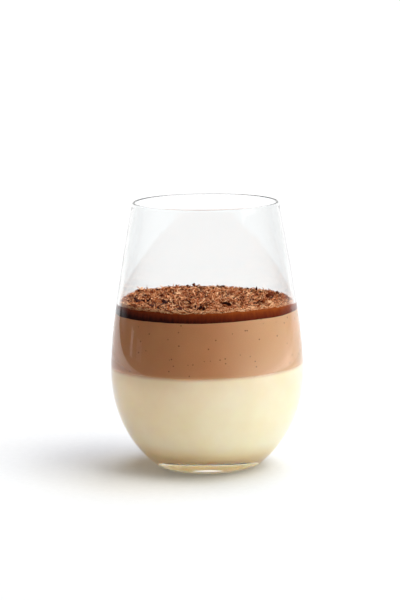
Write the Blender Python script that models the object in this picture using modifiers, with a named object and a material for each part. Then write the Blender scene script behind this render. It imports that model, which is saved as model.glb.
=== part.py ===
"""Layered chocolate mousse in a stemless wine glass: white mousse, milk chocolate mousse, a thin dark
chocolate layer and a heap of grated chocolate. Metres, +Z up, origin at the middle of the glass's foot."""

import math

import bmesh
import bpy
from mathutils import Vector, noise

# The glass's outer shape
GLASS_HEIGHT = 0.120
RIM_RADIUS = 0.0328
BELLY_RADIUS = 0.0435
BELLY_HEIGHT = 0.0433
BOWL_CURVE = 0.0504  # from the belly down to where the bowl's curve would close, under the foot
BOWL_END = math.radians(34.3)  # where the foot's rounding takes over from that curve
SIDE_EASE = 0.51  # how gently the side starts to lean in above the belly

# The foot
FOOT_RING = 0.0030  # width of the flat ring that the glass rests on
PUNT_DEPTH = 0.0010  # how far the underside is hollowed inside that ring

# The wall and the inside
RIM_WALL = 0.0011
BELLY_WALL = 0.0014
INNER_CURVE = 0.0485  # as BOWL_CURVE, for the inside
FLOOR_HEIGHT = 0.0080
FLOOR_CORNER = 0.0045  # how widely the floor rounds into the wall

# The layers: the height of each top on the glass's axis
WHITE_TOP = 0.04675
MILK_TOP = 0.07095
DARK_TOP = 0.07515
HEAP_TOP = 0.0773  # at the wall
TILT = math.radians(0.9)  # the layers set while the glass leaned, so they rise towards +X

# The uneven top of the heap
HEAP_DOME = 0.0008
HEAP_LEAN = 0.022  # how steeply it falls towards +X
HEAP_FALL = 0.0014  # how much further it has slid down on that side
HEAP_THIN = 0.0007  # its least depth over the dark layer
HEAP_LUMPS = ((0.0090, 0.0010), (0.0042, 0.0007))  # width and height of each size of lump
HEAP_STEP = 0.0034

GAP = 0.0003
SEGMENTS = 64
SIDE_STEPS = 7
BOWL_STEPS = 8
FOOT_STEPS = 3
RIM_STEPS = 4
BLOCK_SIZE = 0.110


def new_collection(name):
    collection = bpy.data.collections.new(name)
    bpy.context.scene.collection.children.link(collection)
    return collection


def new_material(name, colour, roughness, transmission=0.0):
    material = bpy.data.materials.new(name)
    material.use_nodes = True
    shader = material.node_tree.nodes["Principled BSDF"]
    shader.inputs["Base Color"].default_value = (*colour, 1.0)
    shader.inputs["Roughness"].default_value = roughness
    shader.inputs["Metallic"].default_value = 0.0
    shader.inputs["Transmission Weight"].default_value = transmission
    return material


def outer_radius(height):
    """The side above the belly: level at the belly, then leaning in ever more evenly up to the rim."""
    rise = (height - BELLY_HEIGHT) / (GLASS_HEIGHT - BELLY_HEIGHT)
    lean = rise * rise * (1.0 + SIDE_EASE) / (rise + SIDE_EASE)
    return BELLY_RADIUS - (BELLY_RADIUS - RIM_RADIUS) * lean


def wall_at(height):
    rise = (height - BELLY_HEIGHT) / (GLASS_HEIGHT - BELLY_HEIGHT)
    return BELLY_WALL + (RIM_WALL - BELLY_WALL) * rise


def steps(first, last, count):
    return [first + (last - first) * i / count for i in range(count + 1)]


def inner_bowl():
    """The inside from the middle of the floor up to the belly: an elliptical bowl over a rounded floor."""
    points = []
    for angle in steps(0.0, math.pi / 2, 2 * BOWL_STEPS - 3):
        wall = BELLY_HEIGHT - INNER_CURVE * math.cos(angle)
        apart = math.hypot(wall - FLOOR_HEIGHT, FLOOR_CORNER)
        height = (wall + FLOOR_HEIGHT + apart) / 2
        points.append(((BELLY_RADIUS - BELLY_WALL) * math.sin(angle), height))
    return points


def inner_side(top):
    """The inside from the belly, whose own point inner_bowl gives, up to a height."""
    first = inner_bowl()[-1][1]
    return [(outer_radius(z) - wall_at(z), z) for z in steps(first, top, SIDE_STEPS)[1:]]


def rim():
    """The rounded lip, from the inside over the top to the outside."""
    half = RIM_WALL / 2
    middle, height = RIM_RADIUS - half, GLASS_HEIGHT - half
    turns = steps(math.pi, 0.0, RIM_STEPS)[1:]
    return [(middle + half * math.cos(a), height + half * math.sin(a)) for a in turns]


def outer_bowl():
    """The outside from just under the lip down the side and the bowl to the end of the bowl's curve."""
    side = steps(GLASS_HEIGHT - RIM_WALL / 2, BELLY_HEIGHT, SIDE_STEPS)[1:]
    turns = steps(math.pi / 2, BOWL_END, BOWL_STEPS)[1:]
    bowl = [(BELLY_RADIUS * math.sin(a), BELLY_HEIGHT - BOWL_CURVE * math.cos(a)) for a in turns]
    return [(outer_radius(z), z) for z in side] + bowl


def foot_rounding():
    """The rounded edge that carries on the bowl's slope down to the flat foot."""
    radius = BELLY_RADIUS * math.sin(BOWL_END)
    height = BELLY_HEIGHT - BOWL_CURVE * math.cos(BOWL_END)
    slope = math.atan2(BOWL_CURVE * math.sin(BOWL_END), BELLY_RADIUS * math.cos(BOWL_END))
    bend = height / (1.0 - math.cos(slope))
    middle = radius - bend * math.sin(slope)
    turns = steps(slope, 0.0, FOOT_STEPS)[1:]
    return [(middle + bend * math.sin(a), bend * (1.0 - math.cos(a))) for a in turns]


def underside(ring):
    """The shallow hollow inside the flat ring, whose outer edge is given."""
    inner = ring - FOOT_RING
    hollow = [(inner * math.cos(a), PUNT_DEPTH * math.sin(a)) for a in steps(0.0, math.pi / 2, 4)]
    return hollow[:-1] + [(0.0, PUNT_DEPTH)]


def turned(name, profile, collection, material=None):
    """A profile in the XZ plane, turned about Z. It starts and ends on the axis."""
    mesh = bpy.data.meshes.new(name)
    edges = [(i, i + 1) for i in range(len(profile) - 1)]
    mesh.from_pydata([(r, 0.0, z) for r, z in profile], edges, [])
    item = bpy.data.objects.new(name, mesh)
    collection.objects.link(item)
    if material:
        mesh.materials.append(material)
    screw = item.modifiers.new("turn", "SCREW")
    screw.steps = screw.render_steps = SEGMENTS
    screw.use_merge_vertices = True
    screw.merge_threshold = 0.0001
    screw.use_smooth_shade = True
    return item


def filling_profile(top):
    """What fills the glass up to a flat top, a gap clear of the inside."""
    wall = [(max(r - GAP, 0.0), z + GAP) for r, z in inner_bowl() + inner_side(top)]
    return wall + [(0.0, wall[-1][1])]


def cutter(item, collection):
    for owner in item.users_collection:
        owner.objects.unlink(item)
    collection.objects.link(item)
    item.hide_render = True
    item.display_type = "WIRE"
    return item


def slab(name, bottom, top, collection):
    """A tilted slab between two heights on the axis, wider than the glass."""
    bpy.ops.mesh.primitive_cube_add(size=1.0, location=(0.0, 0.0, (bottom + top) / 2))
    item = bpy.context.object
    item.name = name
    item.scale = (BLOCK_SIZE, BLOCK_SIZE, top - bottom)
    bpy.ops.object.transform_apply(location=False, rotation=False, scale=True)
    item.rotation_euler = (0.0, -TILT, 0.0)
    return cutter(item, collection)


def heap_height(x, y):
    """The heap's top: domed from the wall to the middle, lower towards +X, with lumps of two sizes."""
    out = min(math.hypot(x, y) / outer_radius(HEAP_TOP), 1.0)
    lumps = sum(
        height * noise.noise(Vector((x, y, 0.0)) / width) for width, height in HEAP_LUMPS
    )
    slid = HEAP_FALL * min(max(x / 0.028, 0.0), 1.0)
    top = HEAP_TOP - HEAP_LEAN * x - slid + HEAP_DOME * (1.0 - out * out) + lumps
    return max(top, DARK_TOP + GAP + x * math.tan(TILT) + HEAP_THIN)


def heap_block(name, collection):
    """A block whose top is the heap's uneven surface and whose bottom is well under it."""
    count = round(BLOCK_SIZE / HEAP_STEP)
    shape = bmesh.new()
    bmesh.ops.create_grid(shape, x_segments=count, y_segments=count, size=BLOCK_SIZE / 2)
    for vertex in shape.verts:
        vertex.co.z = heap_height(vertex.co.x, vertex.co.y)
    under = bmesh.ops.extrude_face_region(shape, geom=shape.faces[:], use_keep_orig=True)
    for item in under["geom"]:
        if isinstance(item, bmesh.types.BMVert):
            item.co.z = WHITE_TOP
    bmesh.ops.recalc_face_normals(shape, faces=shape.faces[:])
    mesh = bpy.data.meshes.new(name)
    shape.to_mesh(mesh)
    shape.free()
    item = bpy.data.objects.new(name, mesh)
    collection.objects.link(item)
    return cutter(item, collection)


def keep_inside(item, other):
    cut = item.modifiers.new("keep_" + other.name, "BOOLEAN")
    cut.operation = "INTERSECT"
    cut.solver = "EXACT"
    cut.object = other


def build_glass(parts):
    clear = new_material("clear_glass", (0.95, 0.96, 0.96), 0.02, transmission=1.0)
    inside = inner_bowl() + inner_side(GLASS_HEIGHT - RIM_WALL / 2)
    foot = foot_rounding()
    turned("glass", inside + rim() + outer_bowl() + foot + underside(foot[-1][0]), parts, clear)


def build_layers(parts, cutters):
    layers = (
        ("white_mousse", -GAP - 0.02, WHITE_TOP, (0.86, 0.73, 0.51), 0.55),
        ("milk_mousse", WHITE_TOP + GAP, MILK_TOP, (0.40, 0.18, 0.09), 0.50),
        ("dark_layer", MILK_TOP + GAP, DARK_TOP, (0.09, 0.02, 0.01), 0.30),
    )
    for name, bottom, top, colour, roughness in layers:
        material = new_material(name, colour, roughness)
        item = turned(name, filling_profile(MILK_TOP + 0.02), parts, material)
        keep_inside(item, slab(name + "_slab", bottom, top, cutters))


def build_heap(parts, cutters):
    material = new_material("grated_chocolate", (0.17, 0.055, 0.025), 0.50)
    item = turned("shavings", filling_profile(HEAP_TOP + 0.02), parts, material)
    keep_inside(item, slab("shavings_slab", DARK_TOP + GAP, HEAP_TOP + 0.03, cutters))
    keep_inside(item, heap_block("shavings_top", cutters))


def main():
    for item in list(bpy.data.objects):
        bpy.data.objects.remove(item, do_unlink=True)
    parts = new_collection("chocolate_mousse")
    cutters = new_collection("cutters")
    build_glass(parts)
    build_layers(parts, cutters)
    build_heap(parts, cutters)


main()
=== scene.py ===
"""The looks of a layered chocolate mousse in a stemless wine glass: blown glass, two mousses that fill it
to the wall, a dark chocolate layer pressed against it and a heap of grated chocolate."""

import math

import bmesh
import bpy
import numpy as np
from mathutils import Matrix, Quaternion, Vector, noise


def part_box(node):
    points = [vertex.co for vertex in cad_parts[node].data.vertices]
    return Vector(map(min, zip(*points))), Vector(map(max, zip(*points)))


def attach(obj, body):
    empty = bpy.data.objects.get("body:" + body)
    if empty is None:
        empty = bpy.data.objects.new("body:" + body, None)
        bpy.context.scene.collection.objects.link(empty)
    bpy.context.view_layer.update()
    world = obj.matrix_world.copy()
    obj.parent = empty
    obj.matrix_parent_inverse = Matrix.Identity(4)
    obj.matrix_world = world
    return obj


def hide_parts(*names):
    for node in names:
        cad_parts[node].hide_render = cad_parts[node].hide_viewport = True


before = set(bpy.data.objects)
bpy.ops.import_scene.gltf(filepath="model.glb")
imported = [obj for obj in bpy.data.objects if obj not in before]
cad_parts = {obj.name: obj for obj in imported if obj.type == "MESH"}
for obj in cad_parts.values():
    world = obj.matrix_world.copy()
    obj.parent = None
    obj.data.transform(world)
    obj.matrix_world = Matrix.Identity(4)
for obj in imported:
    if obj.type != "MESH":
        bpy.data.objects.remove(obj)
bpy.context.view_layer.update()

MM = 0.001

# The glass, from its CAD node's box and the shape of its side
GLASS_LOW, GLASS_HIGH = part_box("glass")
GLASS_HEIGHT = GLASS_HIGH.z
BELLY_RADIUS = GLASS_HIGH.x
BELLY_HEIGHT = 0.0433
RIM_RADIUS = 0.0328
BOWL_CURVE = 0.0504  # from the belly down to where the bowl's curve would close, under the foot
BOWL_END = math.radians(34.3)  # where the foot's rounding takes over from that curve
SIDE_EASE = 0.51  # how gently the side starts to lean in above the belly
RIM_WALL = 0.0011
BELLY_WALL = 0.0014
INNER_CURVE = 0.0485  # as BOWL_CURVE, for the inside
FLOOR_HEIGHT = 0.0080
FLOOR_CORNER = 0.0045
FOOT_RING = 0.0030
PUNT_DEPTH = 0.0010

GLASS_SEGMENTS = 256
FOOD_SEGMENTS = 360
INTO_WALL = 0.25 * MM  # how far the food reaches into the glass, so that no air shows between them
AIR_FILM = 0.06 * MM  # under the mousse, over the middle of the floor, which shines like a mirror for it
FILM_RADIUS = 17 * MM

# The layers set while the glass leaned, so each seam rises towards +X
TILT = math.radians(0.9)


def seam(lower, upper):
    """The height on the glass's axis where two layers meet, midway between their CAD solids."""
    return (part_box(lower)[1].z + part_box(upper)[0].z) / 2


WHITE_TOP = seam("white_mousse", "milk_mousse")
MILK_TOP = seam("milk_mousse", "dark_layer")
DARK_TOP = seam("dark_layer", "shavings")
HEAP_TOP = 0.0755  # at the wall
HEAP_DOME = 0.0008
HEAP_LEAN = 0.022  # how steeply the heap falls towards +X, against the layers' tilt
# How far the heap has slid down, by how far across the glass
HEAP_FALLS = ((-36 * MM, 0.9 * MM), (-31 * MM, 0.2 * MM), (0.0, 0.2 * MM), (28 * MM, 1.2 * MM))
HEAP_THIN = 0.3 * MM  # its least depth over the dark layer


# ---------------------------------------------------------------- materials


def linear(hex_colour):
    """An sRGB hex colour as linear RGBA."""
    values = [int(hex_colour[i : i + 2], 16) / 255 for i in (1, 3, 5)]
    return [v / 12.92 if v <= 0.04045 else ((v + 0.055) / 1.055) ** 2.4 for v in values] + [1.0]


def per_metre(size_mm):
    """The Scale of a pattern whose features are this many millimetres across."""
    return 1000.0 / size_mm


def settle(made, **settings):
    """Sets a node's own settings, and its inputs' values by their names with _ for a space."""
    for name, value in settings.items():
        if hasattr(made, name):
            setattr(made, name, value)
        else:
            made.inputs[name.replace("_", " ")].default_value = value


def add(tree, kind, links=(), stops=(), **settings):
    """Adds a node with its settings. Each link is (input's name or index, an output socket), and stops
    are a colour ramp's (position, hex colour) pairs."""
    made = tree.nodes.new("ShaderNode" + kind)
    settle(made, **settings)
    for name, source in links:
        tree.links.new(source, made.inputs[name])
    for _ in stops[2:]:
        made.color_ramp.elements.new(0.5)
    for position, colour in stops:
        element = made.color_ramp.elements[stops.index((position, colour))]
        element.position = position
        element.color = linear(colour)
    return made


def new_material(name):
    material = bpy.data.materials.new(name)
    material.use_nodes = True
    tree = material.node_tree
    return material, tree, tree.nodes["Principled BSDF"]


def blown_soda_lime_glass():
    """Soda-lime glass, blown and fire-polished: quite clear, IOR 1.52, with a mirror finish. Blowing leaves
    slow waves in the wall, 14 mm apart and a few microns high, which bend reflections a little."""
    material, tree, shader = new_material("blown_soda_lime_glass")
    place = add(tree, "TexCoord").outputs["Object"]
    waves = add(tree, "TexNoise", [("Vector", place)], Scale=per_metre(14), Detail=1.0)
    relief = add(tree, "Bump", [("Height", waves.outputs["Fac"])], Strength=1.0, Distance=0.02 * MM)
    settle(
        shader,
        Base_Color=linear("#fdfefe"),
        Roughness=0.0,
        IOR=1.52,
        Transmission_Weight=1.0,
    )
    tree.links.new(relief.outputs["Normal"], shader.inputs["Normal"])
    # Light passes straight through the thin wall to the food
    path = add(tree, "LightPath").outputs
    clear = add(tree, "BsdfTransparent").outputs["BSDF"]
    bounced = add(
        tree,
        "MixShader",
        [("Fac", path["Is Diffuse Ray"]), (1, shader.outputs["BSDF"]), (2, clear)],
    )
    lit = add(
        tree,
        "MixShader",
        [("Fac", path["Is Shadow Ray"]), (1, bounced.outputs["Shader"]), (2, clear)],
    )
    tree.links.new(lit.outputs["Shader"], tree.nodes["Material Output"].inputs["Surface"])
    return material


def above_seam(tree, place, level, below_mm, over_mm):
    """How far a place is from below to over a tilted seam, from 0 to 1."""
    apart = add(tree, "SeparateXYZ", [("Vector", place)]).outputs
    tilted = add(tree, "Math", [(0, apart["X"]), (2, apart["Z"])], operation="MULTIPLY_ADD")
    tilted.inputs[1].default_value = -math.tan(TILT)
    return add(
        tree,
        "MapRange",
        [("Value", tilted.outputs["Value"])],
        interpolation_type="SMOOTHSTEP",
        From_Min=level + below_mm * MM,
        From_Max=level + over_mm * MM,
    ).outputs["Result"]


def white_chocolate_mousse():
    """Whipped cream and white chocolate, set: a dense pale foam that light goes millimetres into, so its
    shading is soft. Slow folds from spooning vary its tone over about 12 mm and the milk chocolate mousse
    stains its top. Its lowest part, over the glass's floor, is painted darker and yellower as painted shade.
    Its own bubbles are 0.1 mm, too fine to show, so they are drawn 0.7 mm across and faint."""
    material, tree, shader = new_material("white_chocolate_mousse")
    place = add(tree, "TexCoord").outputs["Object"]
    folds = add(tree, "TexNoise", [("Vector", place)], Scale=per_metre(12), Detail=2.0)
    tone = add(
        tree,
        "ValToRGB",
        [("Fac", folds.outputs["Fac"])],
        stops=[(0.30, "#f3e0bb"), (0.70, "#f6e6c7")],
    )
    stained = add(
        tree,
        "Mix",
        [("Factor", above_seam(tree, place, WHITE_TOP, -1.7, 1.0)), (6, tone.outputs["Color"])],
        data_type="RGBA",
    )
    stained.inputs[7].default_value = linear("#cf9769")
    # Painted shade: darker and yellower below 15.5 mm, over the glass's floor
    height = add(tree, "SeparateXYZ", [("Vector", place)]).outputs["Z"]
    painted_low_shade = add(
        tree,
        "MapRange",
        [("Value", height)],
        From_Min=15.5 * MM,
        From_Max=9.5 * MM,
        To_Max=0.45,
        interpolation_type="SMOOTHSTEP",
    ).outputs["Result"]
    whole = add(tree, "Mix", [("Factor", painted_low_shade), (6, stained.outputs[2])], data_type="RGBA")
    whole.inputs[7].default_value = linear("#e4c07a")
    deep = add(
        tree,
        "MapRange",
        [("Value", above_seam(tree, place, WHITE_TOP, -10.0, 0.0))],
        To_Min=40.0 * MM,
        To_Max=0.6 * MM,
    ).outputs["Result"]
    tree.links.new(deep, shader.inputs["Subsurface Scale"])
    foam = add(tree, "TexNoise", [("Vector", place)], Scale=per_metre(0.7), Detail=1.0)
    relief = add(tree, "Bump", [("Height", foam.outputs["Fac"])], Strength=0.5, Distance=0.03 * MM)
    tree.links.new(whole.outputs[2], shader.inputs["Base Color"])
    tree.links.new(relief.outputs["Normal"], shader.inputs["Normal"])
    settle(
        shader,
        Roughness=0.6,
        IOR=1.4,
        Specular_IOR_Level=0.5,
        Subsurface_Weight=1.0,
        Subsurface_Radius=(1.0, 0.8, 0.4),
    )
    return material


def milk_chocolate_mousse():
    """Milk chocolate folded into whipped cream: a matt light brown foam, paler where it meets the white
    mousse. Towards +X, the side the lamps light most, it is painted paler as a painted highlight. Spooning
    leaves cloudy patches 9 mm across. A few larger bubbles, 0.7 mm across, lie against the glass and show as
    darker specks, painted shade for their hollows. Its underside has a painted glow."""
    material, tree, shader = new_material("milk_chocolate_mousse")
    place = add(tree, "TexCoord").outputs["Object"]
    patches = add(tree, "TexNoise", [("Vector", place)], Scale=per_metre(9), Detail=3.0)
    tone = add(
        tree,
        "ValToRGB",
        [("Fac", patches.outputs["Fac"])],
        stops=[(0.20, "#c4875c"), (0.80, "#ca8e62")],
    )
    apart = add(tree, "SeparateXYZ", [("Vector", place)]).outputs
    # Painted highlight: paler towards +X, the side the lamps light most
    painted_lit_side = add(
        tree,
        "MapRange",
        [("Value", apart["X"])],
        From_Min=-6 * MM,
        From_Max=32 * MM,
        interpolation_type="SMOOTHSTEP",
    ).outputs["Result"]
    folded = add(
        tree, "Mix", [("Factor", painted_lit_side), (6, tone.outputs["Color"])], data_type="RGBA"
    )
    folded.inputs[7].default_value = linear("#d6a67d")
    # Painted shade: dark specks standing for the shade in bubbles' hollows against the glass
    bubbles = add(tree, "TexVoronoi", [("Vector", place)], Scale=per_metre(2.4))
    near = add(
        tree,
        "MapRange",
        [("Value", bubbles.outputs["Distance"])],
        From_Min=0.10,
        From_Max=0.18,
        To_Min=0.75,
        To_Max=0.0,
    )
    some = add(
        tree, "Math", [(0, bubbles.outputs["Color"])], operation="GREATER_THAN", use_clamp=True
    )
    some.inputs[1].default_value = 0.5
    bubble_shade = add(
        tree,
        "Math",
        [(0, near.outputs["Result"]), (1, some.outputs["Value"])],
        operation="MULTIPLY",
    )
    colour = add(
        tree,
        "Mix",
        [("Factor", bubble_shade.outputs["Value"]), (6, folded.outputs[2])],
        data_type="RGBA",
    )
    colour.inputs[7].default_value = linear("#5e3320")
    clear_of_white = add(
        tree,
        "Mix",
        [("Factor", above_seam(tree, place, WHITE_TOP, -1.2, 1.5)), (7, colour.outputs[2])],
        data_type="RGBA",
    )
    clear_of_white.inputs[6].default_value = linear("#e3b68c")
    foam = add(tree, "TexNoise", [("Vector", place)], Scale=per_metre(0.6), Detail=1.0)
    relief = add(tree, "Bump", [("Height", foam.outputs["Fac"])], Strength=0.5, Distance=0.03 * MM)
    tree.links.new(clear_of_white.outputs[2], shader.inputs["Base Color"])
    tree.links.new(relief.outputs["Normal"], shader.inputs["Normal"])
    # Painted glow: its underside emits, standing in for light that comes down through it and leaves by its
    # underside, which only the white mousse under it sees
    facing = add(tree, "NewGeometry").outputs["Normal"]
    upright = add(tree, "SeparateXYZ", [("Vector", facing)]).outputs["Z"]
    glow = add(
        tree,
        "MapRange",
        [("Value", upright)],
        From_Min=-0.6,
        From_Max=-0.95,
        To_Min=0.0,
        To_Max=0.72,
    )
    tree.links.new(glow.outputs["Result"], shader.inputs["Emission Strength"])
    settle(
        shader,
        Roughness=0.6,
        IOR=1.4,
        Specular_IOR_Level=0.5,
        Subsurface_Weight=1.0,
        Subsurface_Radius=(1.0, 0.6, 0.4),
        Subsurface_Scale=0.8 * MM,
        Emission_Color=linear("#ffe2b2"),
    )
    return material


def dark_chocolate_layer():
    """Dark chocolate set soft, with melted shavings in its top: dense and nearly black low down, redder
    and lighter where it thins out at the top. Towards +X it is lighter too, partly because it thins out there
    and partly as painted light on the side the lamps light most. Streaks 1.2 mm wide run up the glass where
    it was poured."""
    material, tree, shader = new_material("dark_chocolate_layer")
    place = add(tree, "TexCoord").outputs["Object"]
    squeezed = add(tree, "Mapping", [("Vector", place)], Scale=(1.0, 1.0, 0.25))
    streaks = add(
        tree, "TexNoise", [("Vector", squeezed.outputs["Vector"])], Scale=per_metre(1.2), Detail=3.0
    )
    apart = add(tree, "SeparateXYZ", [("Vector", place)]).outputs
    # Lighter towards +X: partly where the layer thins out, partly painted light on the side the lamps light
    # most
    thin = add(
        tree,
        "MapRange",
        [("Value", apart["X"])],
        From_Min=-36 * MM,
        From_Max=36 * MM,
        To_Min=-0.24,
        To_Max=0.38,
    ).outputs["Result"]
    level = above_seam(tree, place, MILK_TOP, -0.4, 4.0)
    melted = above_seam(tree, place, DARK_TOP, -1.4, 0.0)
    uneven = add(
        tree,
        "MapRange",
        [("Value", streaks.outputs["Fac"])],
        From_Min=0.3,
        From_Max=0.7,
        To_Min=-0.12,
        To_Max=0.12,
    ).outputs["Result"]
    for part, share in ((level, 0.58), (melted, 0.24), (uneven, 1.0)):
        summed = add(tree, "Math", [(0, part), (2, thin)], operation="MULTIPLY_ADD")
        summed.inputs[1].default_value = share
        thin = summed.outputs["Value"]
    colour = add(
        tree,
        "ValToRGB",
        [("Fac", thin)],
        stops=[(0.0, "#2c0905"), (0.35, "#5e1e09"), (0.70, "#7b300e"), (1.0, "#924316")],
    )
    tree.links.new(colour.outputs["Color"], shader.inputs["Base Color"])
    relief = add(
        tree, "Bump", [("Height", streaks.outputs["Fac"])], Strength=0.6, Distance=0.05 * MM
    )
    tree.links.new(relief.outputs["Normal"], shader.inputs["Normal"])
    settle(shader, Roughness=0.4, IOR=1.45, Specular_IOR_Level=0.1)
    return material


def grated_chocolate(name, darkest, middle, lightest):
    """Chocolate off a grater, matt where the blade tore it. Each piece has
    its own tone, and a grain of 0.5 mm crosses it."""
    material, tree, shader = new_material(name)
    place = add(tree, "TexCoord").outputs["Object"]
    piece = add(tree, "Attribute", attribute_name="tone")
    grain = add(tree, "TexNoise", [("Vector", place)], Scale=per_metre(0.5), Detail=2.0)
    mixed = add(
        tree,
        "MapRange",
        [("Value", grain.outputs["Fac"])],
        From_Min=0.3,
        From_Max=0.7,
        To_Min=-0.07,
        To_Max=0.07,
    )
    tone = add(
        tree,
        "Math",
        [(0, piece.outputs["Fac"]), (1, mixed.outputs["Result"])],
        operation="ADD",
        use_clamp=True,
    )
    colour = add(
        tree,
        "ValToRGB",
        [("Fac", tone.outputs["Value"])],
        stops=[(0.0, darkest), (0.5, middle), (1.0, lightest)],
    )
    relief = add(tree, "Bump", [("Height", grain.outputs["Fac"])], Strength=0.7, Distance=0.06 * MM)
    tree.links.new(colour.outputs["Color"], shader.inputs["Base Color"])
    tree.links.new(relief.outputs["Normal"], shader.inputs["Normal"])
    settle(shader, Roughness=0.5, IOR=1.45, Specular_IOR_Level=0.08)
    return material


def white_card():
    """Matt white card for the table."""
    material, tree, shader = new_material("matt_white_card")
    place = add(tree, "TexCoord").outputs["Object"]
    fibres = add(tree, "TexNoise", [("Vector", place)], Scale=per_metre(3), Detail=2.0)
    colour = add(
        tree,
        "ValToRGB",
        [("Fac", fibres.outputs["Fac"])],
        stops=[(0.3, "#efefef"), (0.7, "#f2f2f2")],
    )
    away = add(tree, "VectorMath", [(0, place)], operation="LENGTH")
    gone = add(
        tree,
        "MapRange",
        [("Value", away.outputs["Value"])],
        From_Min=0.30,
        From_Max=0.46,
        interpolation_type="SMOOTHSTEP",
    )
    tree.links.new(colour.outputs["Color"], shader.inputs["Base Color"])
    settle(shader, Roughness=0.9, Specular_IOR_Level=0.0)
    clear = add(tree, "BsdfTransparent").outputs["BSDF"]
    mixed = add(
        tree,
        "MixShader",
        [("Fac", gone.outputs["Result"]), (1, shader.outputs["BSDF"]), (2, clear)],
    )
    tree.links.new(mixed.outputs["Shader"], tree.nodes["Material Output"].inputs["Surface"])
    return material


# ---------------------------------------------------------------- the glass's section


def steps(first, last, count):
    return [first + (last - first) * i / count for i in range(count + 1)]


def outer_radius(height):
    """The side above the belly: level at the belly, then leaning in ever more evenly up to the rim."""
    rise = (height - BELLY_HEIGHT) / (GLASS_HEIGHT - BELLY_HEIGHT)
    lean = rise * rise * (1.0 + SIDE_EASE) / (rise + SIDE_EASE)
    return BELLY_RADIUS - (BELLY_RADIUS - RIM_RADIUS) * lean


def wall_at(height):
    rise = (height - BELLY_HEIGHT) / (GLASS_HEIGHT - BELLY_HEIGHT)
    return BELLY_WALL + (RIM_WALL - BELLY_WALL) * rise


def inner_bowl(count):
    """The inside from the middle of the floor up to the belly: an elliptical bowl over a rounded floor."""
    points = []
    for angle in steps(0.0, math.pi / 2, count):
        wall = BELLY_HEIGHT - INNER_CURVE * math.cos(angle)
        apart = math.hypot(wall - FLOOR_HEIGHT, FLOOR_CORNER)
        height = (wall + FLOOR_HEIGHT + apart) / 2
        points.append(((BELLY_RADIUS - BELLY_WALL) * math.sin(angle), height))
    return points


def inner_side(count):
    """The inside from the belly up to where the lip's rounding starts."""
    first = inner_bowl(1)[-1][1]
    heights = steps(first, GLASS_HEIGHT - RIM_WALL / 2, count)[1:]
    return [(outer_radius(z) - wall_at(z), z) for z in heights]


def lip(count):
    """The rounded lip, from the inside over the top to the outside."""
    half = RIM_WALL / 2
    middle, height = RIM_RADIUS - half, GLASS_HEIGHT - half
    turns = steps(math.pi, 0.0, count)[1:]
    return [(middle + half * math.cos(a), height + half * math.sin(a)) for a in turns]


def outside(count):
    """The outside from under the lip down to the end of the bowl's curve."""
    side = steps(GLASS_HEIGHT - RIM_WALL / 2, BELLY_HEIGHT, count)[1:]
    turns = steps(math.pi / 2, BOWL_END, count)[1:]
    bowl = [(BELLY_RADIUS * math.sin(a), BELLY_HEIGHT - BOWL_CURVE * math.cos(a)) for a in turns]
    return [(outer_radius(z), z) for z in side] + bowl


def foot_rounding(count):
    """The rounded edge that carries on the bowl's slope down to the flat foot."""
    radius = BELLY_RADIUS * math.sin(BOWL_END)
    height = BELLY_HEIGHT - BOWL_CURVE * math.cos(BOWL_END)
    slope = math.atan2(BOWL_CURVE * math.sin(BOWL_END), BELLY_RADIUS * math.cos(BOWL_END))
    bend = height / (1.0 - math.cos(slope))
    middle = radius - bend * math.sin(slope)
    turns = steps(slope, 0.0, count)[1:]
    return [(middle + bend * math.sin(a), bend * (1.0 - math.cos(a))) for a in turns]


def hollow(ring_radius, count):
    """The flat ring that the glass rests on and the shallow hollow inside it."""
    inner = ring_radius - FOOT_RING
    turns = steps(0.0, math.pi / 2, count)
    return [(inner * math.cos(a), PUNT_DEPTH * math.sin(a)) for a in turns][:-1] + [(0.0, PUNT_DEPTH)]


INNER = np.array(inner_bowl(160) + inner_side(160))


def inner_radius(height):
    """The inside's radius at a height above the floor's corner."""
    return np.interp(height, INNER[:, 1], INNER[:, 0])


# ---------------------------------------------------------------- meshes


def new_piece(name, points, faces, material, node, smooth=True):
    """A mesh object that rides on the root body and stands for a CAD node."""
    mesh = bpy.data.meshes.new(name)
    mesh.from_pydata([tuple(p) for p in np.asarray(points).tolist()], [], faces)
    mesh.materials.append(material)
    mesh.validate()
    if smooth:
        mesh.shade_smooth()
    item = bpy.data.objects.new(name, mesh)
    bpy.context.scene.collection.objects.link(item)
    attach(item, "root")
    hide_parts(node)
    return item


def revolve(columns):
    """Faces and points of a closed solid from one column of (x, y, z) points for each angle. Every column
    starts and ends at the same two points on the axis."""
    columns = np.asarray(columns)
    turns, rows = columns.shape[:2]
    points = [columns[0, 0], *columns[:, 1:-1].reshape(-1, 3), columns[0, -1]]
    inner = rows - 2
    last = 1 + turns * inner
    faces = []
    for i in range(turns):
        here, there = 1 + i * inner, 1 + (i + 1) % turns * inner
        faces.append((0, there, here))
        for j in range(inner - 1):
            faces.append((here + j, there + j, there + j + 1, here + j + 1))
        faces.append((here + inner - 1, there + inner - 1, last))
    return points, faces


def build_glass():
    rounding = foot_rounding(12)
    profile = inner_bowl(60) + inner_side(48) + lip(10) + outside(48) + rounding
    profile += hollow(rounding[-1][0], 16)
    turns = np.linspace(0, 2 * math.pi, GLASS_SEGMENTS, endpoint=False)
    columns = [
        [(r * math.cos(a), r * math.sin(a), z) for r, z in profile] for a in turns
    ]
    points, faces = revolve(columns)
    faces = [tuple(reversed(f)) for f in faces]
    return new_piece("wine_glass", points, faces, blown_soda_lime_glass(), "glass")


def seam_height(level, x, y, ripple):
    """A seam's height: tilted, with slow waves and finer ones that spooning leaves."""
    slow = noise.noise(Vector((x, y, level)) / 0.022)
    fine = noise.noise(Vector((x, y, level + 1)) / 0.006)
    return level + x * math.tan(TILT) + ripple * (slow + 0.4 * fine)


def cap_radii(count):
    """Shares of the wall's radius, from the axis outwards, closer together at the wall."""
    return [math.sin(s * math.pi / 2) for s in steps(0.0, 1.0, count)][1:-1]


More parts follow.
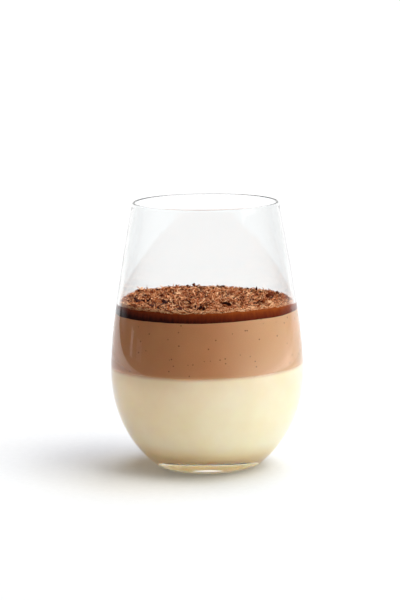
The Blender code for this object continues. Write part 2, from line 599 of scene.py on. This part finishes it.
def layer_columns(lower, upper, rows, reach=INTO_WALL):
    """Columns for a layer between two seams, each a function of x and y, out to a reach into the wall."""
    radius = float(inner_radius(upper(0, 0))) + reach
    columns = []
    for angle in np.linspace(0, 2 * math.pi, FOOD_SEGMENTS, endpoint=False):
        c, s = math.cos(angle), math.sin(angle)
        low, high = lower(radius * c, radius * s), upper(radius * c, radius * s)
        wall = [(float(inner_radius(z)) + reach, z) for z in steps(low, high, rows)]
        under, over = wall[0][0], wall[-1][0]
        column = [(0.0, 0.0, lower(0, 0))]
        column += [(under * t * c, under * t * s, lower(under * t * c, under * t * s)) for t in cap_radii(10)]
        column += [(r * c, r * s, z) for r, z in wall]
        column += [
            (over * t * c, over * t * s, upper(over * t * c, over * t * s))
            for t in reversed(cap_radii(10))
        ]
        column.append((0.0, 0.0, upper(0, 0)))
        columns.append(column)
    return columns


def white_seam(x, y):
    return seam_height(WHITE_TOP, x, y, 0.5 * MM)


def milk_seam(x, y):
    return seam_height(MILK_TOP, x, y, 0.35 * MM)


def dark_seam(x, y):
    lumps = noise.noise(Vector((x, y, 0.3)) / 0.0028)
    slid = float(np.interp(x, [15 * MM, 37 * MM], [0.0, 0.3 * MM]))
    slid += float(np.interp(x + y, [5 * MM, 45 * MM], [0.0, 1.4 * MM]))
    return seam_height(DARK_TOP, x, y, 0.5 * MM) + 0.45 * MM * lumps - slid


def bowl_wall(high):
    """The white mousse's wall from the middle of the floor up to a height: over its film of air in the
    middle, and reaching into the glass outside that."""
    keep = INNER[INNER[:, 1] < high - 0.1 * MM]
    path = np.vstack([keep, [inner_radius(high), high]])
    along = np.linspace(0, 1, len(path))
    wanted = np.linspace(0, 1, 120)
    wall = np.stack([np.interp(wanted, along, path[:, k]) for k in (0, 1)], axis=1)
    slope = np.gradient(wall, axis=0)
    normal = np.stack([slope[:, 1], -slope[:, 0]], axis=1)
    normal /= np.linalg.norm(normal, axis=1, keepdims=True)
    normal[0], normal[-1] = (0.0, -1.0), (1.0, 0.0)
    reach = np.interp(
        wall[:, 0], [FILM_RADIUS, FILM_RADIUS + 1.0 * MM], [-AIR_FILM, INTO_WALL]
    )
    return (wall + reach[:, None] * normal).tolist()


def build_white_mousse():
    columns = []
    radius = float(inner_radius(WHITE_TOP))
    for angle in np.linspace(0, 2 * math.pi, FOOD_SEGMENTS, endpoint=False):
        c, s = math.cos(angle), math.sin(angle)
        wall = bowl_wall(white_seam(radius * c, radius * s))
        column = [(r * c, r * s, z) for r, z in wall]
        r = wall[-1][0]
        column += [
            (r * t * c, r * t * s, white_seam(r * t * c, r * t * s)) for t in reversed(cap_radii(10))
        ]
        column.append((0.0, 0.0, white_seam(0, 0)))
        columns.append(column)
    points, faces = revolve(columns)
    return new_piece("white_mousse_fill", points, faces, white_chocolate_mousse(), "white_mousse")


def build_milk_mousse():
    points, faces = revolve(layer_columns(white_seam, milk_seam, 60))
    return new_piece("milk_mousse_fill", points, faces, milk_chocolate_mousse(), "milk_mousse")


def build_dark_layer():
    points, faces = revolve(layer_columns(milk_seam, dark_seam, 12))
    return new_piece("dark_chocolate_fill", points, faces, dark_chocolate_layer(), "dark_layer")


# ---------------------------------------------------------------- the heap


def heap_height(x, y):
    """The heap's top: domed from the wall to the middle, with lumps of three sizes."""
    out = min(math.hypot(x, y) / float(inner_radius(HEAP_TOP)), 1.0)
    lumps = sum(
        height * noise.noise(Vector((x, y, 0.0)) / width)
        for width, height in ((9 * MM, 1.0 * MM), (4.2 * MM, 0.7 * MM), (1.6 * MM, 0.5 * MM))
    )
    slid = float(np.interp(x, *zip(*HEAP_FALLS)))
    top = HEAP_TOP - HEAP_LEAN * x - slid + HEAP_DOME * (1.0 - out * out) + lumps
    return max(top, dark_seam(x, y) + HEAP_THIN)


HEAP_SINK = 1.3 * MM  # how far the core lies under the top of the loose pieces


def build_heap_core():
    def top(x, y):
        return max(heap_height(x, y) - HEAP_SINK, dark_seam(x, y) + 0.1 * MM)

    points, faces = revolve(layer_columns(lambda x, y: dark_seam(x, y) - 0.3 * MM, top, 6, -0.8 * MM))
    # Coloured darker than the loose pieces: painted shade for the gaps between them
    material = grated_chocolate("grated_chocolate_core_painted_shade", "#2c0a04", "#521e0d", "#78381b")
    item = new_piece("shavings_core", points, faces, material, "shavings")
    set_tone(item, np.full(len(item.data.vertices), 0.4))
    return item


def set_tone(item, values):
    tone = item.data.attributes.new("tone", "FLOAT", "POINT")
    tone.data.foreach_set("value", np.asarray(values, np.float32))


def turn_matrices(yaw, pitch, roll):
    """Rotation matrices: rolled about the piece's length, pitched up, then turned on the heap."""
    cy, sy, cp, sp, cr, sr = (f(a) for a in (yaw, pitch, roll) for f in (np.cos, np.sin))
    zero, one = np.zeros_like(yaw), np.ones_like(yaw)
    about_z = np.array([[cy, -sy, zero], [sy, cy, zero], [zero, zero, one]])
    about_y = np.array([[cp, zero, sp], [zero, one, zero], [-sp, zero, cp]])
    about_x = np.array([[one, zero, zero], [zero, cr, -sr], [zero, sr, cr]])
    return np.einsum("ijn,jkn,kln->nil", about_z, about_y, about_x)


def over_the_heap(draw, count, margin, depth):
    """Places on the heap, even over its disc and from a depth under its top up to it, and yaws for them."""
    reach = float(inner_radius(HEAP_TOP)) - margin
    radius = reach * np.sqrt(draw.random(count))
    angle = 2 * math.pi * draw.random(count)
    x, y = radius * np.cos(angle), radius * np.sin(angle)
    top = np.array([heap_height(a, b) for a, b in zip(x, y)])
    low = np.array([dark_seam(a, b) for a, b in zip(x, y)])
    places = np.stack([x, y, np.maximum(top - depth * draw.random(count), low)], axis=1)
    return places, draw.uniform(0, 2 * math.pi, count)


def along_the_wall(draw, count, margin, depth):
    """Places against the glass, from the dark layer up to the heap's top and closer together low down, and
    yaws that follow the wall."""
    reach = float(inner_radius(HEAP_TOP)) - margin / 5 - depth * draw.random(count)
    angle = 2 * math.pi * draw.random(count)
    x, y = reach * np.cos(angle), reach * np.sin(angle)
    low = np.array([dark_seam(a, b) for a, b in zip(x, y)])
    high = np.array([heap_height(a, b) for a, b in zip(x, y)])
    share = draw.random(count) ** 1.7
    places = np.stack([x, y, low + 0.35 * MM + np.maximum(high - low, 0) * share], axis=1)
    return places, angle + math.pi / 2 + draw.normal(0.0, 0.3, count)


def lying_at(spots):
    """Gives the spots of single pieces and their yaws, however many are asked for."""

    def where(draw, count, margin, depth):
        x, y, lift, turn = np.array(spots, float).T
        top = [heap_height(a * MM, b * MM) for a, b in zip(x, y)]
        return np.stack([x * MM, y * MM, top + (lift + 0.5) * MM], axis=1), np.radians(turn)

    return where


def held_inside(points):
    """Points moved in to the glass's inner wall where they would go through it."""
    limit = inner_radius(points[..., 2]) - 0.05 * MM
    out = np.hypot(points[..., 0], points[..., 1])
    share = np.minimum(1.0, limit / np.maximum(out, 1e-9))
    points[..., :2] *= share[..., None]
    return points


def ribbons(draw, count, length, width, thick, curl, rings, section):
    """Curved strips of chocolate, each an arc with tapered ends. Every size is a (least, most) pair; section
    is the strip's cross-section as (across, up) shares of its width and thickness."""
    size = [draw.uniform(*pair, count)[:, None] for pair in (length, width, thick, curl)]
    long, wide, high, bend = size
    at = np.linspace(-0.5, 0.5, rings)[None, :]
    turn = bend * at
    radius = long / bend
    x = radius * np.sin(turn)
    z = radius * (1 - np.cos(turn))
    taper = 1 - 0.75 * np.abs(2 * at) ** 3
    sway = 0.12 * wide * draw.normal(size=(count, rings))
    points = np.zeros((count, rings, len(section), 3))
    for k, (across, up) in enumerate(section):
        uneven = 1 + 0.18 * draw.normal(size=(count, rings))
        y = sway + across * wide * taper * uneven
        lift = up * high * (0.5 + 0.5 * taper)
        points[:, :, k] = np.stack([x - lift * np.sin(turn), y, z + lift * np.cos(turn)], axis=2)
    return points


def ribbon_faces(count, rings, sides):
    faces = []
    for n in range(count):
        base = n * rings * sides
        for r in range(rings - 1):
            a, b = base + r * sides, base + (r + 1) * sides
            for k in range(sides):
                m = (k + 1) % sides
                faces.append((a + k, a + m, b + m, b + k))
        faces.append(tuple(base + k for k in reversed(range(sides))))
        faces.append(tuple(base + (rings - 1) * sides + k for k in range(sides)))
    return faces


def build_ribbons(name, seed, count, sizes, rings, section, where, depth, tip, material, stand=0.0):
    """One kind of shaving, scattered over the heap or along its wall as one mesh. A share of them stand
    up."""
    draw = np.random.default_rng(seed)
    local = ribbons(draw, count, *sizes, rings, section)
    flip = np.where(draw.random(count) < 0.5, math.pi, 0.0)
    pitch = draw.normal(0.0, tip, count)
    standing = draw.random(count) < stand
    pitch[standing] = draw.uniform(0.9, 1.5, standing.sum())
    places, yaws = where(draw, count, sizes[0][0] * 0.4, depth)
    turns = turn_matrices(yaws, pitch, draw.normal(0.0, 1.3 * tip, count) + flip)
    local -= local.mean(axis=(1, 2), keepdims=True)
    points = np.einsum("nij,nrsj->nrsi", turns, local) + places[:, None, None, :]
    points = held_inside(points)
    faces = ribbon_faces(count, rings, len(section))
    item = new_piece(name, points.reshape(-1, 3), faces, material, "shavings", smooth=False)
    tones = np.clip(draw.normal(0.60, 0.36, count), 0, 1)
    set_tone(item, np.repeat(tones, rings * len(section)))
    return item


# Where single pieces lie on the heap, in millimetres: across, away from the viewer, over its top, and turn
DARK_CURLS = (
    (-26.6, -11.0, 0.5, 15), (-30.5, -9.0, 0.4, -20), (-23.0, -26.5, 0.5, 5), (-20.0, -28.0, 0.6, -15),
    (-18.0, -21.0, 0.7, -50), (-11.5, -31.5, 0.5, 10), (-2.5, -33.5, 0.6, 30), (9.0, -21.0, 0.5, 0),
    (23.5, -15.0, 0.4, 5), (29.0, 9.0, 0.5, 15), (8.0, 36.0, -0.3, -10), (-8.0, -18.0, 0.4, 40),
)
STANDING_BITS = (
    (-8.9, 36.0, 0.3, 90), (-5.7, 36.6, 0.5, 80), (-17.4, 32.5, 0.5, 60), (-14.0, 34.0, 0.5, 100),
    (5.5, 36.8, 0.2, 80), (19.5, 32.0, 0.3, 95), (23.5, 29.5, 0.8, 85), (33.0, 18.0, 0.5, 60),
)
PALE_CURLS = ((3.0, -33.5, 0.5, 5), (28.5, -17.0, 0.4, 35), (-27.5, -13.5, 0.4, -30), (12.0, -30.0, 0.4, 20))
TRIANGLE = ((-0.5, 0.0), (0.5, 0.0), (0.1, 1.0))
BLADE = ((-0.5, 0.0), (0.5, 0.0), (0.45, 1.0), (-0.45, 1.0))


def build_shavings():
    milk = grated_chocolate("grated_milk_chocolate", "#4c1606", "#ca7240", "#ffc897")
    dark = grated_chocolate("grated_dark_chocolate", "#1a0502", "#3c1006", "#6e3014")
    slivers = ((3.0 * MM, 6.5 * MM), (0.35 * MM, 0.6 * MM), (0.25 * MM, 0.4 * MM), (0.2, 1.1))
    for part in range(2):
        build_ribbons(
            f"grated_slivers_{part + 1}", 11 + part, 2700, slivers, 5, TRIANGLE, over_the_heap,
            1.3 * MM, 0.26, milk, stand=0.03,
        )
    build_ribbons(
        "slivers_at_the_glass", 13, 3000, slivers, 5, TRIANGLE, along_the_wall, 0.8 * MM, 0.22, milk
    )
    curls = ((2.5 * MM, 5.5 * MM), (0.8 * MM, 1.6 * MM), (0.14 * MM, 0.24 * MM), (1.2, 4.0))
    build_ribbons("grated_curls", 21, 260, curls, 10, BLADE, over_the_heap, 0.6 * MM, 0.25, milk)
    chips = ((1.0 * MM, 2.6 * MM), (0.8 * MM, 1.6 * MM), (0.3 * MM, 0.7 * MM), (0.1, 0.5))
    build_ribbons(
        "dark_chips", 31, 560, chips, 3, BLADE, over_the_heap, 0.9 * MM, 0.4, dark, stand=0.05
    )
    broad = ((4.0 * MM, 5.6 * MM), (1.8 * MM, 2.8 * MM), (0.25 * MM, 0.4 * MM), (1.2, 2.4))
    bits = ((1.4 * MM, 2.2 * MM), (0.7 * MM, 1.2 * MM), (0.3 * MM, 0.6 * MM), (0.2, 0.8))
    for name, seed, spots, sizes, material, stand in (
        ("dark_curls", 51, DARK_CURLS, broad, dark, 0.0),
        ("pale_curls", 52, PALE_CURLS, curls, milk, 0.0),
        ("standing_bits", 53, STANDING_BITS, bits, dark, 1.0),
    ):
        build_ribbons(
            name, seed, len(spots), sizes, 10, BLADE, lying_at(spots), 0.0, 0.45, material, stand
        )
    crumbs = ((0.3 * MM, 0.8 * MM), (0.3 * MM, 0.7 * MM), (0.25 * MM, 0.5 * MM), (0.1, 0.3))
    build_ribbons(
        "grated_crumbs", 41, 1600, crumbs, 3, TRIANGLE, over_the_heap, 0.9 * MM, 0.5, milk
    )


# ---------------------------------------------------------------- table, light and camera


def build_table():
    shape = bmesh.new()
    bmesh.ops.create_circle(shape, cap_ends=True, segments=96, radius=0.5)
    mesh = bpy.data.meshes.new("table")
    shape.to_mesh(mesh)
    shape.free()
    mesh.materials.append(white_card())
    item = bpy.data.objects.new("table", mesh)
    bpy.context.scene.collection.objects.link(item)
    return item


def softbox(name, azimuth, elevation, width, height, radiance, mirrored=False):
    """A square light two metres from the glass and facing it. Azimuth 0 is the viewer's side and 90 the
    right. The glass mirrors it only where that is asked for, as if a polariser took the rest."""
    light = bpy.data.lights.new(name, "AREA")
    light.shape = "RECTANGLE"
    light.size, light.size_y = width, height
    light.energy = math.pi * width * height
    light.color = radiance
    item = bpy.data.objects.new(name, light)
    bpy.context.scene.collection.objects.link(item)
    a, e = math.radians(azimuth), math.radians(elevation)
    away = Vector((math.sin(a) * math.cos(e), -math.cos(a) * math.cos(e), math.sin(e)))
    item.location = Vector((0.0, 0.0, 0.05)) + 2.0 * away
    item.rotation_euler = away.to_track_quat("Z", "Y").to_euler()
    item.visible_camera = False
    item.visible_glossy = item.visible_transmission = mirrored
    return item


BACKDROP = 1.10


def build_world():
    """A white backdrop behind the glass, with the far table under it, and a dim room on the other sides.
    The backdrop ends 39 degrees round to the left and fades out to the right, and the table's edges are
    further round the lower down they are. Higher up it fades out sooner. The room is pale to look at."""
    world = bpy.data.worlds.new("studio")
    bpy.context.scene.world = world
    world.use_nodes = True
    tree = world.node_tree
    place = add(tree, "TexCoord").outputs["Generated"]
    apart = add(tree, "SeparateXYZ", [("Vector", place)]).outputs
    sideways = add(tree, "Math", [(0, apart["X"])], operation="ABSOLUTE").outputs["Value"]
    azimuth = add(tree, "Math", [(0, sideways), (1, apart["Y"])], operation="ARCTAN2").outputs["Value"]
    drop = add(
        tree,
        "MapRange",
        [("Value", apart["Z"])],
        From_Min=-math.sin(math.radians(4.1)),
        From_Max=-math.sin(math.radians(10.1)),
        To_Min=0.0,
        To_Max=math.radians(6 * 20),
    ).outputs["Result"]
    round_to = add(tree, "Math", [(0, azimuth), (1, drop)], operation="SUBTRACT").outputs["Value"]
    left = add(
        tree,
        "MapRange",
        [("Value", round_to)],
        From_Min=math.radians(37),
        From_Max=math.radians(41),
        To_Min=1.0,
        To_Max=0.06,
    ).outputs["Result"]
    right = add(
        tree,
        "MapRange",
        [("Value", round_to)],
        From_Min=math.radians(40),
        From_Max=math.radians(75),
        To_Min=1.0,
        To_Max=0.06,
    ).outputs["Result"]
    side = add(tree, "Math", [(0, apart["X"])], operation="GREATER_THAN").outputs["Value"]
    side.node.inputs[1].default_value = 0.0
    low = add(tree, "Mix", [("Factor", side), ("A", left), ("B", right)]).outputs["Result"]
    high = add(
        tree,
        "MapRange",
        [("Value", azimuth)],
        From_Min=math.radians(26),
        From_Max=math.radians(63),
        To_Min=1.0,
        To_Max=0.02,
    ).outputs["Result"]
    rise = add(
        tree,
        "MapRange",
        [("Value", apart["Z"])],
        From_Min=-math.sin(math.radians(3.6)),
        From_Max=-math.sin(math.radians(2.4)),
    ).outputs["Result"]
    around = add(tree, "Mix", [("Factor", rise), ("A", low), ("B", high)]).outputs["Result"]
    near_light = add(
        tree, "MapRange", [("Value", apart["X"])], From_Min=0.3, From_Max=0.95, To_Max=1.1
    ).outputs["Result"]
    beside = add(
        tree,
        "MapRange",
        [("Value", azimuth)],
        From_Min=math.radians(54),
        From_Max=math.radians(68),
    ).outputs["Result"]
    under = add(
        tree,
        "MapRange",
        [("Value", apart["Z"])],
        From_Min=-math.sin(math.radians(5.5)),
        From_Max=math.sin(math.radians(1.0)),
        To_Min=1.0,
        To_Max=0.0,
    ).outputs["Result"]
    low_down = add(tree, "Math", [(0, under), (1, beside)], operation="MULTIPLY").outputs["Value"]
    glow = add(
        tree, "Math", [(0, near_light), (1, low_down)], operation="MULTIPLY"
    ).outputs["Value"]
    around = add(tree, "Math", [(0, around), (1, glow)], operation="ADD").outputs["Value"]
    path = add(tree, "LightPath").outputs
    straight = add(
        tree,
        "Math",
        [(0, path["Is Transmission Ray"]), (1, path["Glossy Depth"])],
        operation="SUBTRACT",
        use_clamp=True,
    ).outputs["Value"]
    pale = add(tree, "MapRange", [("Value", straight)], To_Min=0.0, To_Max=0.60).outputs["Result"]
    seen = add(tree, "Math", [(0, around), (1, pale)], operation="MAXIMUM").outputs["Value"]
    white = add(
        tree, "Math", [(0, seen), (1, path["Is Camera Ray"])], operation="MAXIMUM"
    ).outputs["Value"]
    level = add(
        tree, "MapRange", [("Value", path["Is Diffuse Ray"])], To_Min=BACKDROP, To_Max=0.0
    ).outputs["Result"]
    strength = add(tree, "Math", [(0, white), (1, level)], operation="MULTIPLY").outputs["Value"]
    tree.links.new(strength, tree.nodes["Background"].inputs["Strength"])
    tree.nodes["Background"].inputs["Color"].default_value = (1.0, 1.0, 1.0, 1.0)


def build_camera():
    """A long lens at arm's length, a little above the glass, held with a slight roll."""
    distance, elevation, roll = 1.165, math.radians(8.73), math.radians(-0.615)
    view_height = 0.2702
    aim = Vector((-0.0029, 0.0, 0.0754))
    camera = bpy.data.cameras.new("camera")
    camera.sensor_width = 36.0
    camera.lens = camera.sensor_width * distance / view_height
    camera.clip_end = 20.0
    item = bpy.data.objects.new("camera", camera)
    bpy.context.scene.collection.objects.link(item)
    away = Vector((0.0, -math.cos(elevation), math.sin(elevation)))
    item.location = aim + distance * away
    item.rotation_mode = "QUATERNION"
    item.rotation_quaternion = (-away).to_track_quat("-Z", "Y") @ Quaternion((0, 0, 1), roll)
    bpy.context.scene.camera = item


def main():
    bpy.context.scene.view_settings.view_transform = "Standard"
    build_camera()
    build_glass()
    build_white_mousse()
    build_milk_mousse()
    build_dark_layer()
    build_heap_core()
    build_shavings()
    build_table()
    build_world()
    softbox("upper_right", 67, 57, 1.4, 1.0, (5.5, 5.4, 5.0))
    softbox("upper_back", 140, 57, 1.8, 1.0, (2.7, 3.1, 3.8))
    softbox("overhead", 180, 85, 1.2, 1.2, (2.8, 2.8, 2.8))
    softbox("low_right", 62, 10, 1.4, 0.7, (3.6, 4.8, 5.8))
    softbox("low_front", 25, 15, 1.0, 0.7, (1.6, 1.3, 0.8))
    softbox("fill_left", 225, 35, 1.4, 1.0, (2.4, 2.1, 1.8))
    softbox("window", 71, 17, 1.0, 0.3, (0.9, 0.9, 0.9), mirrored=True)
    softbox("door_gap", 257, -2, 0.16, 0.14, (0.9, 0.9, 0.9), mirrored=True)
    softbox("left_card", 271, -2, 0.30, 0.14, (0.35, 0.35, 0.35), mirrored=True)


main()
